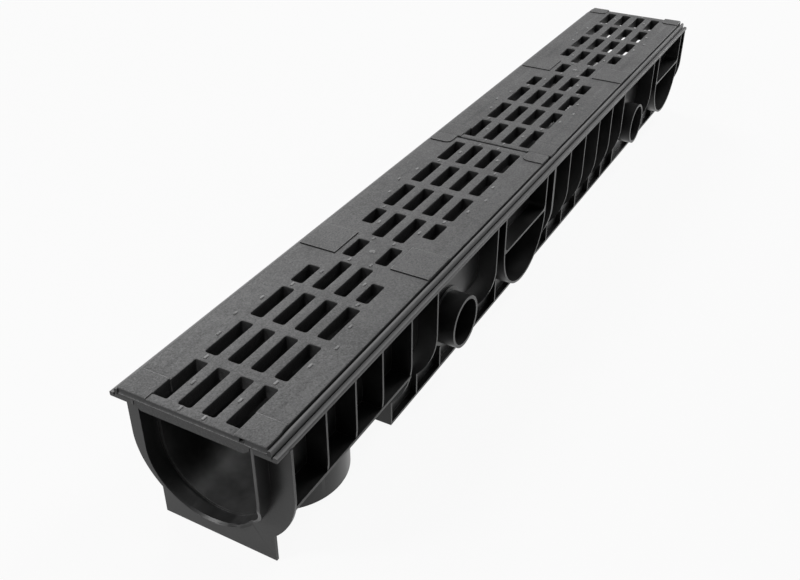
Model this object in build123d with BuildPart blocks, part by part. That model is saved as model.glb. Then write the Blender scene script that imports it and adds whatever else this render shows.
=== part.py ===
from build123d import *
from math import sqrt
import os

# Drainage channel, one metre long: a ribbed plastic trough with two cast-iron grates lying in its rim.
# X runs along the channel, Y across it and Z up from the ground that it stands on.
# Stations are distances from the jointed end at -X. The plain end is at +X.

# Trough: a U section with a half-round floor
channel_length = 1000.0
trough_width = 102.0
trough_floor_height = 21.0
trough_wall = 2.5

# Rim: a flat flange each side, with an upstand that keeps the grates in place
rim_width = 146.0
rim_height = 122.6
rim_thickness = 4.0
rim_edge_round = 0.8
upstand_thickness = 3.0
upstand_height = 2.9
upstand_round = 1.2
upstand_margin = 5.0
rim_groove_width = 1.2
rim_groove_depth = 1.0

# Ribs, end plates and feet share one outline, straight at the sides and round below
rib_setback = 1.0
rib_floor_height = 2.0
rib_thickness = 2.0
rib_pitch = 46.0
middle_rib_thickness = 4.5
end_plate_thickness = 2.5
near_plate_station = 14.0
foot_width = 105.0
foot_wall = 2.2
foot_wall_setback = 6.0
foot_strip_thickness = 2.4

# Outlet box at the jointed end: a level shelf with short ribs on it and a round spout below
shelf_height = 62.0
shelf_thickness = 2.5
shelf_setback = 1.5
shelf_end_station = 187.0
short_rib_first_station = 60.0
short_rib_pitch = 40.0
short_rib_count = 3
outlet_station = 99.0
outlet_diameter = 110.0
outlet_wall = 3.0
outlet_bottom = 5.5

# Round side spouts with a raised ring at the base, closed by the trough wall
spout_near_station = 284.0
spout_far_distance = 212.0
spout_height = 57.5
spout_diameter = 50.0
spout_wall = 3.0
spout_stand_out = 2.0
spout_base_width = 3.5
spout_base_thickness = 2.0

# Side pockets with a half-round floor, each divided by a level shelf
pocket_middle_offset = 72.0
pocket_far_distance = 70.0
pocket_width = 106.0
pocket_floor_height = 24.0
pocket_wall = 2.2
pocket_setback = 1.5
pocket_shelf_height = 80.0
pocket_shelf_thickness = 2.2
pocket_corner_round = 6.0
pocket_near_rib_offset = 72.0
pocket_far_rib_offset = 78.0
pocket_web_offset = 24.0

# Joint at the -X end: a tongue on the -Y half and a recessed collar on the rest
tongue_front_height = 63.0
tongue_back_height = 32.0
collar_station = 9.0
collar_outer_step = 1.8
collar_end_offset = 33.0
recess_end_station = 22.0
recess_depth = 2.0
recess_back_wall = 2.5

# Grates
grate_side_play = 1.0
grate_frame_play = 1.0
grate_end_gap = 0.6
grate_edge_thickness = 6.4
grate_depth = 10.6
grate_edge_round = 0.9
far_end_setback = 2.5
ear_length = 18.0
ear_width = 0.6

# Slots of a grate
long_slot = 46.0
short_slot = 28.5
middle_slot = 30.0
slot_width = 11.6
slot_corner_cut = 2.4
slot_draft = 2.0
slot_edge_chamfer = 0.7
slot_pitch = 56.1
slot_row_pitch = 20.9
middle_row_pitch = 32.8
middle_gap = 50.8
near_margin = 7.3
far_margin = 12.1

# Raised pads, nubs and the notch of a grate
pad_rise = 1.0
middle_pad_length = 40.0
middle_pad_inner = 27.5
far_pad_length = 20.5
far_pad_inner = 41.0
far_pad_round = 7.0
near_pad_rise = 0.5
near_pad_length = 26.0
near_pad_inner = 38.3
nub_length = 5.0
nub_width = 2.3
nub_rise = 0.8
notch_width = 4.0
notch_height = 3.0
notch_depth = 5.0
notch_offset = 44.0
notch_cover = 1.4

# Worked out from the sizes above
near_end = -channel_length / 2
far_end = channel_length / 2
plate_x = near_end + near_plate_station
trough_radius = trough_width / 2
shell_radius = trough_radius + trough_wall
trough_axis = trough_floor_height + trough_radius
rim_bottom = rim_height - rim_thickness
rim_top = rim_height + upstand_height
upstand_outer = rim_width / 2 - upstand_margin
upstand_inner = upstand_outer - upstand_thickness
rib_width = rim_width - 2 * rib_setback
rib_axis = rib_floor_height + rib_width / 2
foot_top = rib_axis - sqrt((rib_width / 2) ** 2 - (foot_width / 2) ** 2)
spout_radius = spout_diameter / 2
spout_reach = rim_width / 2 + spout_stand_out
spout_base_reach = shell_radius + spout_base_thickness
spout_stations = (spout_near_station, channel_length - spout_far_distance)
middle_station = channel_length / 2
pocket_stations = (middle_station - pocket_middle_offset, channel_length - pocket_far_distance)
pocket_rib_offsets = (pocket_near_rib_offset, pocket_far_rib_offset)
pocket_radius = pocket_width / 2
pocket_axis = pocket_floor_height + pocket_radius
pocket_reach = rim_width / 2 - pocket_setback
grate_pitch = channel_length / 2
grate_length = grate_pitch - grate_end_gap
grate_width = 2 * (upstand_inner - grate_side_play)
frame_width = trough_width - 2 * grate_frame_play
grate_top = rim_height + grate_edge_thickness


def across(station):
    """Plane across the channel at a station, looking along +X, with Y to its right and Z up."""
    return Plane((near_end + station, 0, 0), x_dir=(0, 1, 0), z_dir=(1, 0, 0))


def along(offset):
    """Upright plane along the channel, at a distance to the +Y side, with X to its right and Z up."""
    return Plane((0, offset, 0), x_dir=(1, 0, 0), z_dir=(0, -1, 0))


def u_shape(radius, axis, top):
    """U with a half-round floor and a level top, in the sketch that is open."""
    with Locations((0, axis)):
        Circle(radius)
        Rectangle(2 * radius, top - axis, align=(Align.CENTER, Align.MIN))
    with Locations((0, top)):
        Rectangle(2 * radius, 2 * radius, align=(Align.CENTER, Align.MIN), mode=Mode.SUBTRACT)


def rib_shape():
    """Outline of a rib with its foot, in the sketch that is open."""
    u_shape(rib_width / 2, rib_axis, rim_bottom)
    Rectangle(foot_width, rib_axis, align=(Align.CENTER, Align.MIN))


def rib_run(first, last):
    """Stations of ribs at the rib pitch, from the first one up to a last station."""
    count = int((last - first) / rib_pitch) + 1
    return [first + rib_pitch * index for index in range(count)]


first_run = rib_run(shelf_end_station, spout_stations[0] - spout_radius)
second_run = rib_run(middle_station + rib_pitch, spout_stations[1] - spout_radius)
pocket_ribs = [at - offset for at, offset in zip(pocket_stations, pocket_rib_offsets)]
pocket_web_top = pocket_axis - sqrt((pocket_radius - pocket_wall / 2) ** 2 - pocket_web_offset ** 2)
foot_webs = [(run[-1] + rib_pitch, foot_top) for run in (first_run, second_run)]
foot_webs += [(at + side * pocket_web_offset, pocket_web_top) for at in pocket_stations for side in (-1, 1)]

with BuildPart() as channel_body:
    # Ribs with feet, the thicker middle rib and the plates at the two ends
    for rib_station in first_run + second_run + pocket_ribs:
        with BuildSketch(across(rib_station)):
            rib_shape()
        extrude(amount=rib_thickness / 2, both=True)
    with BuildSketch(across(middle_station)):
        rib_shape()
    extrude(amount=middle_rib_thickness / 2, both=True)
    with BuildSketch(across(near_plate_station)):
        rib_shape()
    extrude(amount=end_plate_thickness)
    with BuildSketch(across(channel_length)):
        rib_shape()
    extrude(amount=-end_plate_thickness)

    # Foot walls along both sides, set back on a flat strip, with webs below the spouts and the pockets
    foot_length = channel_length - shelf_end_station
    wall_offset = foot_width / 2 - foot_wall_setback - foot_wall / 2
    strip_width = foot_wall_setback + foot_wall
    with BuildSketch(Plane.XY):
        with Locations(*[(far_end, side * wall_offset) for side in (-1, 1)]):
            Rectangle(foot_length, foot_wall, align=(Align.MAX, Align.CENTER))
    extrude(amount=foot_top)
    with BuildSketch(Plane.XY):
        with Locations(*[(far_end, side * (foot_width - strip_width) / 2) for side in (-1, 1)]):
            Rectangle(foot_length, strip_width, align=(Align.MAX, Align.CENTER))
    extrude(amount=foot_strip_thickness)
    for web_station, web_top in foot_webs:
        with BuildSketch(across(web_station)):
            Rectangle(foot_width, web_top, align=(Align.CENTER, Align.MIN))
        extrude(amount=rib_thickness / 2, both=True)

    # Outlet box: short ribs on the shelf, and the solid of the spout below
    for index in range(short_rib_count):
        with BuildSketch(across(short_rib_first_station + short_rib_pitch * index)):
            u_shape(rib_width / 2, rib_axis, rim_bottom)
            with Locations((0, shelf_height)):
                Rectangle(rib_width, rib_width, align=(Align.CENTER, Align.MAX), mode=Mode.SUBTRACT)
        extrude(amount=rib_thickness / 2, both=True)
    with BuildSketch(Plane.XY.offset(shelf_height - shelf_thickness)):
        with Locations((plate_x, 0)):
            shelf_length = shelf_end_station - near_plate_station
            Rectangle(shelf_length, rim_width - 2 * shelf_setback, align=(Align.MIN, Align.CENTER))
    extrude(amount=shelf_thickness)
    with BuildSketch(Plane.XY.offset(outlet_bottom)):
        with Locations((near_end + outlet_station, 0)):
            Circle(outlet_diameter / 2)
    extrude(amount=shelf_height - outlet_bottom)

    # Side spouts and pockets as solids, right across the channel
    with BuildSketch(along(spout_reach)):
        with Locations(*[(near_end + at, spout_height) for at in spout_stations]):
            Circle(spout_radius)
    extrude(amount=2 * spout_reach)
    with BuildSketch(along(spout_base_reach)):
        with Locations(*[(near_end + at, spout_height) for at in spout_stations]):
            Circle(spout_radius + spout_base_width)
    extrude(amount=2 * spout_base_reach)
    for pocket_station in pocket_stations:
        with BuildSketch(along(pocket_reach)):
            with Locations((near_end + pocket_station, 0)):
                u_shape(pocket_radius, pocket_axis, rim_bottom)
        extrude(amount=2 * pocket_reach)

    # Hollows of the outlet, the spouts and the pockets
    with BuildSketch(Plane.XY.offset(outlet_bottom)):
        with Locations((near_end + outlet_station, 0)):
            Circle(outlet_diameter / 2 - outlet_wall)
    extrude(amount=shelf_height - shelf_thickness - outlet_bottom, mode=Mode.SUBTRACT)
    with BuildSketch(along(spout_reach)):
        with Locations(*[(near_end + at, spout_height) for at in spout_stations]):
            Circle(spout_radius - spout_wall)
    extrude(amount=2 * spout_reach, mode=Mode.SUBTRACT)
    inner_pocket = pocket_width - 2 * pocket_wall
    for pocket_station in pocket_stations:
        with BuildSketch(along(pocket_reach)):
            with Locations((near_end + pocket_station, pocket_shelf_height)):
                upper_height = rim_bottom - pocket_shelf_height
                Rectangle(inner_pocket, upper_height, align=(Align.CENTER, Align.MIN))
            fillet(vertices().group_by(Axis.Y)[0], radius=pocket_corner_round)
        extrude(amount=2 * pocket_reach, mode=Mode.SUBTRACT)
        with BuildSketch(along(pocket_reach)):
            with Locations((near_end + pocket_station, 0)):
                u_shape(inner_pocket / 2, pocket_axis, pocket_shelf_height - pocket_shelf_thickness)
        extrude(amount=2 * pocket_reach, mode=Mode.SUBTRACT)

    # Tongue: one half of the trough wall runs on past the end plate, with a slanted lower end
    with BuildSketch(across(0)):
        u_shape(shell_radius, trough_axis, rim_bottom)
        Rectangle(shell_radius, rim_top, align=(Align.MIN, Align.MIN), mode=Mode.SUBTRACT)
    extrude(amount=near_plate_station)
    with BuildSketch(along(shell_radius)):
        with BuildLine():
            Polyline(
                (near_end, tongue_front_height),
                (plate_x, tongue_back_height),
                (plate_x, 0),
                (near_end, 0),
                close=True,
            )
        make_face()
    extrude(amount=2 * shell_radius, mode=Mode.SUBTRACT)

    # Trough wall and the collar, both still full inside
    with BuildSketch(across(near_plate_station)):
        u_shape(shell_radius, trough_axis, rim_bottom)
    extrude(amount=channel_length - near_plate_station)
    with BuildSketch(across(collar_station)):
        u_shape(shell_radius + collar_outer_step, trough_axis, rim_bottom)
        with Locations((-collar_end_offset, 0)):
            Rectangle(rim_width, rim_top, align=(Align.MAX, Align.MIN), mode=Mode.SUBTRACT)
    extrude(amount=recess_end_station + recess_back_wall - collar_station)

    # Flanges with their upstands and grooves
    with BuildSketch(across(0)):
        with Locations((0, rim_height)):
            Rectangle(rim_width, rim_thickness, align=(Align.CENTER, Align.MAX))
        fillet(vertices(), radius=rim_edge_round)
        for side in (-1, 1):
            with Locations((side * (upstand_inner + upstand_outer) / 2, rim_bottom)):
                upstand_full = rim_thickness + upstand_height
                Rectangle(upstand_thickness, upstand_full, align=(Align.CENTER, Align.MIN))
            with Locations((side * (upstand_outer + rim_groove_width / 2), rim_height)):
                Rectangle(rim_groove_width, 2 * rim_groove_depth, mode=Mode.SUBTRACT)
        fillet(vertices().group_by(Axis.Y)[-1], radius=upstand_round)
    extrude(amount=channel_length)

    # Waterway, and the recess inside the collar
    with BuildSketch(across(0)):
        u_shape(trough_radius, trough_axis, rim_top)
    extrude(amount=channel_length, mode=Mode.SUBTRACT)
    with BuildSketch(across(collar_station)):
        u_shape(trough_radius + recess_depth, trough_axis, rim_bottom)
        with Locations((-collar_end_offset, 0)):
            Rectangle(rim_width, rim_top, align=(Align.MAX, Align.MIN), mode=Mode.SUBTRACT)
    extrude(amount=recess_end_station - collar_station, mode=Mode.SUBTRACT)

channel_body.part.label = "channel_body"

slot_reach = (grate_length - near_margin - far_margin) / 2
slot_bar = slot_pitch - long_slot
column_count = int((slot_reach - middle_gap / 2 + slot_bar + 1.0) / slot_pitch)
nub_offset = (middle_gap + middle_slot) / 4
last_nub = slot_reach + slot_edge_chamfer + nub_length / 2
nub_rows = [1, 2, 3, 4, 4.5, 4, 3, 2, 1]


def slot_shapes(centre, extra):
    """Outlines of all the slots of a grate, each wider than the slot by an extra all round."""
    for side in (-1, 1):
        for column in range(column_count):
            column_end = middle_gap / 2 + slot_pitch * column + long_slot
            for row in (-1.5, -0.5, 0.5, 1.5):
                is_short = column == 0 and abs(row) > 1
                length = short_slot if is_short else long_slot
                with Locations((centre + side * (column_end - length / 2), row * slot_row_pitch)):
                    Rectangle(length + 2 * extra, slot_width + 2 * extra)
        with Locations((centre, side * middle_row_pitch / 2)):
            Rectangle(middle_slot + 2 * extra, slot_width + 2 * extra)
    chamfer(vertices(), length=slot_corner_cut + (2 - sqrt(2)) * extra)


def nub_shapes(centre):
    """Outlines of the small nubs on the bars and margins, in two zigzag lines along a grate."""
    for index, row in enumerate(nub_rows[: 2 * column_count + 1]):
        nub_x = min(nub_offset + index * slot_pitch / 2, last_nub)
        nub_y = row * slot_row_pitch / 2
        with Locations(*[(centre + a * nub_x, b * nub_y) for a in (-1, 1) for b in (-1, 1)]):
            Rectangle(nub_length, nub_width)


def grate(start):
    """One cast-iron grate, with its jointed end at the given X."""
    slot_centre = start + near_margin + slot_reach
    far_edge = start + grate_length
    with BuildPart() as casting:
        # Plate that bears on the flanges, and the deeper frame between them
        with BuildSketch(Plane.XY.offset(rim_height)):
            with Locations((start, 0)):
                Rectangle(grate_length, grate_width, align=(Align.MIN, Align.CENTER))
                Rectangle(ear_length, grate_width + 2 * ear_width, align=(Align.MIN, Align.CENTER))
            with Locations((far_edge, 0)):
                end_align = (Align.MAX, Align.CENTER)
                Rectangle(far_end_setback, 2 * far_pad_inner, align=end_align, mode=Mode.SUBTRACT)
        extrude(amount=grate_edge_thickness)
        fillet(casting.edges().group_by(Axis.Z)[-1], radius=grate_edge_round)
        with BuildSketch(Plane.XY.offset(grate_top - grate_depth)):
            with Locations((start, 0)):
                frame_length = grate_length - far_end_setback
                Rectangle(frame_length, frame_width, align=(Align.MIN, Align.CENTER))
        extrude(amount=grate_depth - grate_edge_thickness)

        # Nubs, and raised pads: two at the middle, two at each end
        with BuildSketch(Plane.XY.offset(grate_top)):
            nub_shapes(slot_centre)
        extrude(amount=nub_rise)
        for side in (-1, 1):
            pad_edge = side * grate_width / 2
            pad_align = Align.MAX if side > 0 else Align.MIN
            with BuildSketch(Plane.XY.offset(rim_height)):
                with Locations((start + grate_length / 2, pad_edge)):
                    pad_width = grate_width / 2 - middle_pad_inner
                    Rectangle(middle_pad_length, pad_width, align=(Align.CENTER, pad_align))
            extrude(amount=grate_edge_thickness + pad_rise)
            with BuildSketch(Plane.XY.offset(rim_height)):
                with Locations((far_edge, pad_edge)):
                    pad_width = grate_width / 2 - far_pad_inner
                    Rectangle(far_pad_length, pad_width, align=(Align.MAX, pad_align))
                inner_corner = vertices().group_by(Axis.X)[0].sort_by(Axis.Y)[0 if side > 0 else -1]
                fillet(inner_corner, radius=far_pad_round)
            extrude(amount=grate_edge_thickness + pad_rise)
            with BuildSketch(Plane.XY.offset(rim_height)):
                with Locations((start, pad_edge)):
                    pad_width = grate_width / 2 - near_pad_inner
                    Rectangle(near_pad_length, pad_width, align=(Align.MIN, pad_align))
            extrude(amount=grate_edge_thickness + near_pad_rise)

        # Slots, wider below as cast bars are, with a small chamfer at the top
        with BuildSketch(Plane.XY.offset(grate_top)):
            slot_shapes(slot_centre, 0)
        extrude(amount=-grate_depth, taper=-slot_draft, mode=Mode.SUBTRACT)
        with BuildSketch(Plane.XY.offset(grate_top)):
            slot_shapes(slot_centre, slot_edge_chamfer)
        extrude(amount=-slot_edge_chamfer, taper=45, mode=Mode.SUBTRACT)

        # The outer slots at the jointed end are cut wider beside the near pads
        widening_length = near_pad_length - near_margin - slot_corner_cut
        with BuildSketch(Plane.XY.offset(grate_top - grate_depth)):
            for side in (-1, 1):
                with Locations((start + near_pad_length, side * near_pad_inner)):
                    widening_align = (Align.MAX, Align.MAX if side > 0 else Align.MIN)
                    Rectangle(widening_length, slot_width / 2, align=widening_align)
        extrude(amount=grate_depth + near_pad_rise, mode=Mode.SUBTRACT)

        # Notch in the end face
        with BuildSketch(across(start - near_end)):
            with Locations((-notch_offset, rim_height - notch_cover)):
                Rectangle(notch_width, notch_height, align=(Align.CENTER, Align.MAX))
        extrude(amount=notch_depth, mode=Mode.SUBTRACT)
    return casting.part


front_grate = grate(near_end)
front_grate.label = "front_grate"
rear_grate = grate(near_end + grate_pitch)
rear_grate.label = "rear_grate"

os.makedirs("parts", exist_ok=True)
export_step(channel_body.part, "parts/channel_body.step")
export_step(front_grate, "parts/front_grate.step")
export_step(rear_grate, "parts/rear_grate.step")
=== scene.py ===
import math
from types import SimpleNamespace

import bmesh
import bpy
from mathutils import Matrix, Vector, noise
from mathutils.geometry import delaunay_2d_cdt


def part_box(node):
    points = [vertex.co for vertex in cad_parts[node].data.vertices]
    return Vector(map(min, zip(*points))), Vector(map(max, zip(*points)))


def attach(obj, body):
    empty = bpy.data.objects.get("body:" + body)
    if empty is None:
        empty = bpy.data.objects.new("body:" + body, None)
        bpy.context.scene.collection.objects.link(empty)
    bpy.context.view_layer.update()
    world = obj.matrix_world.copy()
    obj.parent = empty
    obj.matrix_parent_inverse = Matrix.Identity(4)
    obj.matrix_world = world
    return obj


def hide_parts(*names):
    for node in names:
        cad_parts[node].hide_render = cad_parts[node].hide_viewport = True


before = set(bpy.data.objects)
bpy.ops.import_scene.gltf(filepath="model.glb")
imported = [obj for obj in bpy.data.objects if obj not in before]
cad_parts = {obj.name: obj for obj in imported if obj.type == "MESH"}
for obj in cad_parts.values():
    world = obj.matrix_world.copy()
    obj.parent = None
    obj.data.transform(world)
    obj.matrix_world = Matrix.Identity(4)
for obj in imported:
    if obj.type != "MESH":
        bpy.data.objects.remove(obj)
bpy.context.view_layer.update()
mm = 0.001
print("frame loaded:", sorted(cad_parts))


# Node helpers

def newGroup(name, inputs, outputs):
    # a node group with its sockets: inputs are (name, default), outputs are (name, kind)
    group = bpy.data.node_groups.new(name, "ShaderNodeTree")
    for label, value in inputs:
        kind = "NodeSocketColor" if isinstance(value, tuple) else "NodeSocketFloat"
        socket = group.interface.new_socket(name=label, in_out="INPUT", socket_type=kind)
        socket.default_value = value
    for label, kind in outputs:
        group.interface.new_socket(name=label, in_out="OUTPUT", socket_type=kind)
    return group, group.nodes.new("NodeGroupInput"), group.nodes.new("NodeGroupOutput")


def setOrLink(tree, socket, value):
    if isinstance(value, (int, float, tuple)):
        socket.default_value = value
    else:
        tree.links.new(value, socket)


def mathNode(tree, operation, first, second=None, clamp=False):
    node = tree.nodes.new("ShaderNodeMath")
    node.operation = operation
    node.use_clamp = clamp
    setOrLink(tree, node.inputs[0], first)
    if second is not None:
        setOrLink(tree, node.inputs[1], second)
    return node.outputs[0]


def noiseNode(tree, coords, scale, detail, rough):
    node = tree.nodes.new("ShaderNodeTexNoise")
    node.inputs["Detail"].default_value = detail
    node.inputs["Roughness"].default_value = rough
    tree.links.new(coords, node.inputs["Vector"])
    tree.links.new(scale, node.inputs["Scale"])
    return node.outputs["Fac"]


def remap(tree, value, low, high, toLow=0.0, toHigh=1.0):
    node = tree.nodes.new("ShaderNodeMapRange")
    node.interpolation_type = "SMOOTHSTEP"
    tree.links.new(value, node.inputs["Value"])
    for label, number in (("From Min", low), ("From Max", high), ("To Min", toLow), ("To Max", toHigh)):
        node.inputs[label].default_value = number
    return node.outputs["Result"]


def mixColour(tree, factor, first, second):
    node = tree.nodes.new("ShaderNodeMix")
    node.data_type = "RGBA"
    tree.links.new(factor, node.inputs["Factor"])
    setOrLink(tree, node.inputs[6], first)       # the node's two colour sockets
    setOrLink(tree, node.inputs[7], second)
    return node.outputs[2]


# Shared effects

def buildEdgeWearHighlight():
    # mask of worn edges and of painted edge highlights: a wide bevel normal parts from the plain one there
    group, gIn, gOut = newGroup(
        "edgeWearHighlight",
        [("Width", 0.0012), ("Break Scale", 220.0)],
        [("Mask", "NodeSocketFloat")],
    )
    bevel = group.nodes.new("ShaderNodeBevel")
    bevel.samples = 6
    group.links.new(gIn.outputs["Width"], bevel.inputs["Radius"])
    geometry = group.nodes.new("ShaderNodeNewGeometry")
    dot = group.nodes.new("ShaderNodeVectorMath")
    dot.operation = "DOT_PRODUCT"
    group.links.new(bevel.outputs["Normal"], dot.inputs[0])
    group.links.new(geometry.outputs["Normal"], dot.inputs[1])
    bend = mathNode(group, "SUBTRACT", 1.0, dot.outputs["Value"])
    edge = remap(group, bend, 0.01, 0.16)
    coords = group.nodes.new("ShaderNodeTexCoord")
    patchy = noiseNode(group, coords.outputs["Object"], gIn.outputs["Break Scale"], 3.0, 0.6)
    broken = remap(group, patchy, 0.35, 0.62, 0.35, 1.0)
    group.links.new(mathNode(group, "MULTIPLY", edge, broken, True), gOut.inputs["Mask"])
    return group


def buildCastGrain():
    # sand grain, soft dents and a cloudy tone, all in object space
    group, gIn, gOut = newGroup(
        "castGrain",
        [("Grain Scale", 900.0), ("Dent Scale", 120.0), ("Cloud Scale", 22.0)],
        [("Height", "NodeSocketFloat"), ("Speck", "NodeSocketFloat"), ("Pit", "NodeSocketFloat"),
         ("Cloud", "NodeSocketFloat")],
    )
    coords = group.nodes.new("ShaderNodeTexCoord").outputs["Object"]
    grain = noiseNode(group, coords, gIn.outputs["Grain Scale"], 4.0, 0.62)
    dents = noiseNode(group, coords, gIn.outputs["Dent Scale"], 2.0, 0.5)
    cloud = noiseNode(group, coords, gIn.outputs["Cloud Scale"], 4.0, 0.6)
    low = mathNode(group, "MULTIPLY", dents, 0.9)
    group.links.new(mathNode(group, "ADD", grain, low), gOut.inputs["Height"])
    group.links.new(remap(group, grain, 0.48, 0.66), gOut.inputs["Speck"])
    group.links.new(remap(group, grain, 0.46, 0.34), gOut.inputs["Pit"])
    group.links.new(remap(group, cloud, 0.3, 0.7), gOut.inputs["Cloud"])
    return group


def buildRecessShade():
    # mask for painted shade: 1 where a surface lies open, 0 in slots, bays and corners
    group, gIn, gOut = newGroup("recessShade", [("Distance", 0.02)], [("Mask", "NodeSocketFloat")])
    paintedShade = group.nodes.new("ShaderNodeAmbientOcclusion")
    paintedShade.samples = 8
    group.links.new(gIn.outputs["Distance"], paintedShade.inputs["Distance"])
    group.links.new(remap(group, paintedShade.outputs["AO"], 0.35, 0.9), gOut.inputs["Mask"])
    return group


edgeWearHighlight = buildEdgeWearHighlight()
castGrain = buildCastGrain()
recessShade = buildRecessShade()


def useGroup(tree, group, values):
    node = tree.nodes.new("ShaderNodeGroup")
    node.node_tree = group
    for label, value in values.items():
        node.inputs[label].default_value = value
    return node


def newMaterial(name):
    material = bpy.data.materials.new(name)
    material.use_nodes = True
    return material, material.node_tree, material.node_tree.nodes["Principled BSDF"]


# Materials

def facing(tree, axis):
    # how far a surface faces along one of the object's own axes
    coords = tree.nodes.new("ShaderNodeTexCoord")
    parts = tree.nodes.new("ShaderNodeSeparateXYZ")
    tree.links.new(coords.outputs["Normal"], parts.inputs[0])
    return parts.outputs[axis]


def finishSurface(tree, shader, grain, look):
    # the shine, and the bump of the grain
    shader.inputs["Specular IOR Level"].default_value = look["specular"]
    bump = tree.nodes.new("ShaderNodeBump")
    bump.inputs["Strength"].default_value = look["bumpStrength"]
    bump.inputs["Distance"].default_value = look["bumpDepth"]
    tree.links.new(grain.outputs["Height"], bump.inputs["Height"])
    tree.links.new(bump.outputs["Normal"], shader.inputs["Normal"])


ironLook = {
    # painted shade for slots and corners, then for faces that do not look up
    "paintedShade": (0.006, 0.006, 0.0062, 1.0),
    "side": (0.032, 0.032, 0.0325, 1.0),
    "dark": (0.070, 0.070, 0.071, 1.0),
    "pale": (0.104, 0.104, 0.105, 1.0),
    "speck": (0.17, 0.17, 0.171, 1.0),
    "pit": (0.035, 0.035, 0.0355, 1.0),
    # wear with a painted highlight, for rims and the tops of the nubs
    "rubbedHighlight": (0.34, 0.34, 0.34, 1.0),
    "speckShare": 0.36,
    "pitShare": 0.7,
    "rimGain": 1.5,
    "flankShade": 0.8,
    "dull": 0.6,
    "polished": 0.48,
    "specular": 0.4,
    "bumpStrength": 0.7,
    "bumpDepth": 0.0006,
    "grain": {"Grain Scale": 640.0, "Dent Scale": 150.0, "Cloud Scale": 18.0},
    "recessShade": {"Distance": 0.012},
    "rubAndHighlight": {"Width": 0.0015, "Break Scale": 160.0},
}


def buildIron():
    look = ironLook
    material, tree, shader = newMaterial("grateIron")
    grain = useGroup(tree, castGrain, look["grain"])
    unshaded = useGroup(tree, recessShade, look["recessShade"])
    rubAndHighlight = useGroup(tree, edgeWearHighlight, look["rubAndHighlight"])
    specks = mathNode(tree, "MULTIPLY", grain.outputs["Speck"], look["speckShare"])
    pits = mathNode(tree, "MULTIPLY", grain.outputs["Pit"], look["pitShare"])
    top = mixColour(tree, grain.outputs["Cloud"], look["dark"], look["pale"])
    top = mixColour(tree, specks, top, look["speck"])
    top = mixColour(tree, pits, top, look["pit"])
    # rims and the tops of the nubs are rubbed bright and carry a painted highlight, the long flanks stay
    # dark with painted shade
    worn = tree.nodes.new("ShaderNodeAttribute")
    worn.attribute_name = "worn"
    rims = mathNode(tree, "MULTIPLY", rubAndHighlight.outputs["Mask"], look["rimGain"], True)
    rubbedHighlight = mathNode(tree, "MAXIMUM", rims, worn.outputs["Fac"])
    patchy = remap(tree, grain.outputs["Height"], 0.7, 1.1, 0.35, 0.9)
    top = mixColour(tree, mathNode(tree, "MULTIPLY", rubbedHighlight, patchy), top, look["rubbedHighlight"])
    # painted shade: the faces that look across the grate, and slots and corners, are painted darker
    across = remap(tree, mathNode(tree, "ABSOLUTE", facing(tree, "Y")), 0.5, 0.85)
    flank = mathNode(tree, "MULTIPLY", across, look["flankShade"])
    lightReach = mathNode(tree, "MULTIPLY", unshaded.outputs["Mask"], mathNode(tree, "SUBTRACT", 1.0, flank))
    side = mixColour(tree, lightReach, look["paintedShade"], look["side"])
    # painted shade: the faces that do not look up get the darker colour, the top the lighter one
    base = mixColour(tree, remap(tree, facing(tree, "Z"), 0.35, 0.6), side, top)
    tree.links.new(base, shader.inputs["Base Color"])
    rough = remap(tree, grain.outputs["Speck"], 0.0, 1.0, look["dull"], look["polished"])
    tree.links.new(rough, shader.inputs["Roughness"])
    finishSurface(tree, shader, grain, look)
    return material


plasticLook = {
    # painted shade for bays, slots and corners
    "paintedShade": (0.003, 0.003, 0.0031, 1.0),
    "deep": (0.012, 0.012, 0.0122, 1.0),
    "worn": (0.027, 0.027, 0.0273, 1.0),
    # painted light inside the trough
    "troughLight": (0.085, 0.085, 0.0855, 1.0),
    # painted highlight on edges
    "edge": (0.19, 0.19, 0.191, 1.0),
    # painted highlight on the tops of the rim
    "rim": (0.17, 0.17, 0.171, 1.0),
    "endHighlight": 0.12,
    "sideHighlight": 0.85,
    "rimLow": 0.1219,
    "rimHigh": 0.1225,
    "troughAxis": 0.072,
    "troughReach": 0.0532,
    "troughLightFade": 0.0005,
    "polished": 0.30,
    "dull": 0.40,
    "rimScuffAndLight": 0.3,
    "specular": 0.34,
    "bumpStrength": 0.18,
    "bumpDepth": 0.00025,
    "grain": {"Grain Scale": 420.0, "Dent Scale": 70.0, "Cloud Scale": 14.0},
    "recessShade": {"Distance": 0.03},
    "rubAndHighlight": {"Width": 0.0008, "Break Scale": 120.0},
}


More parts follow.
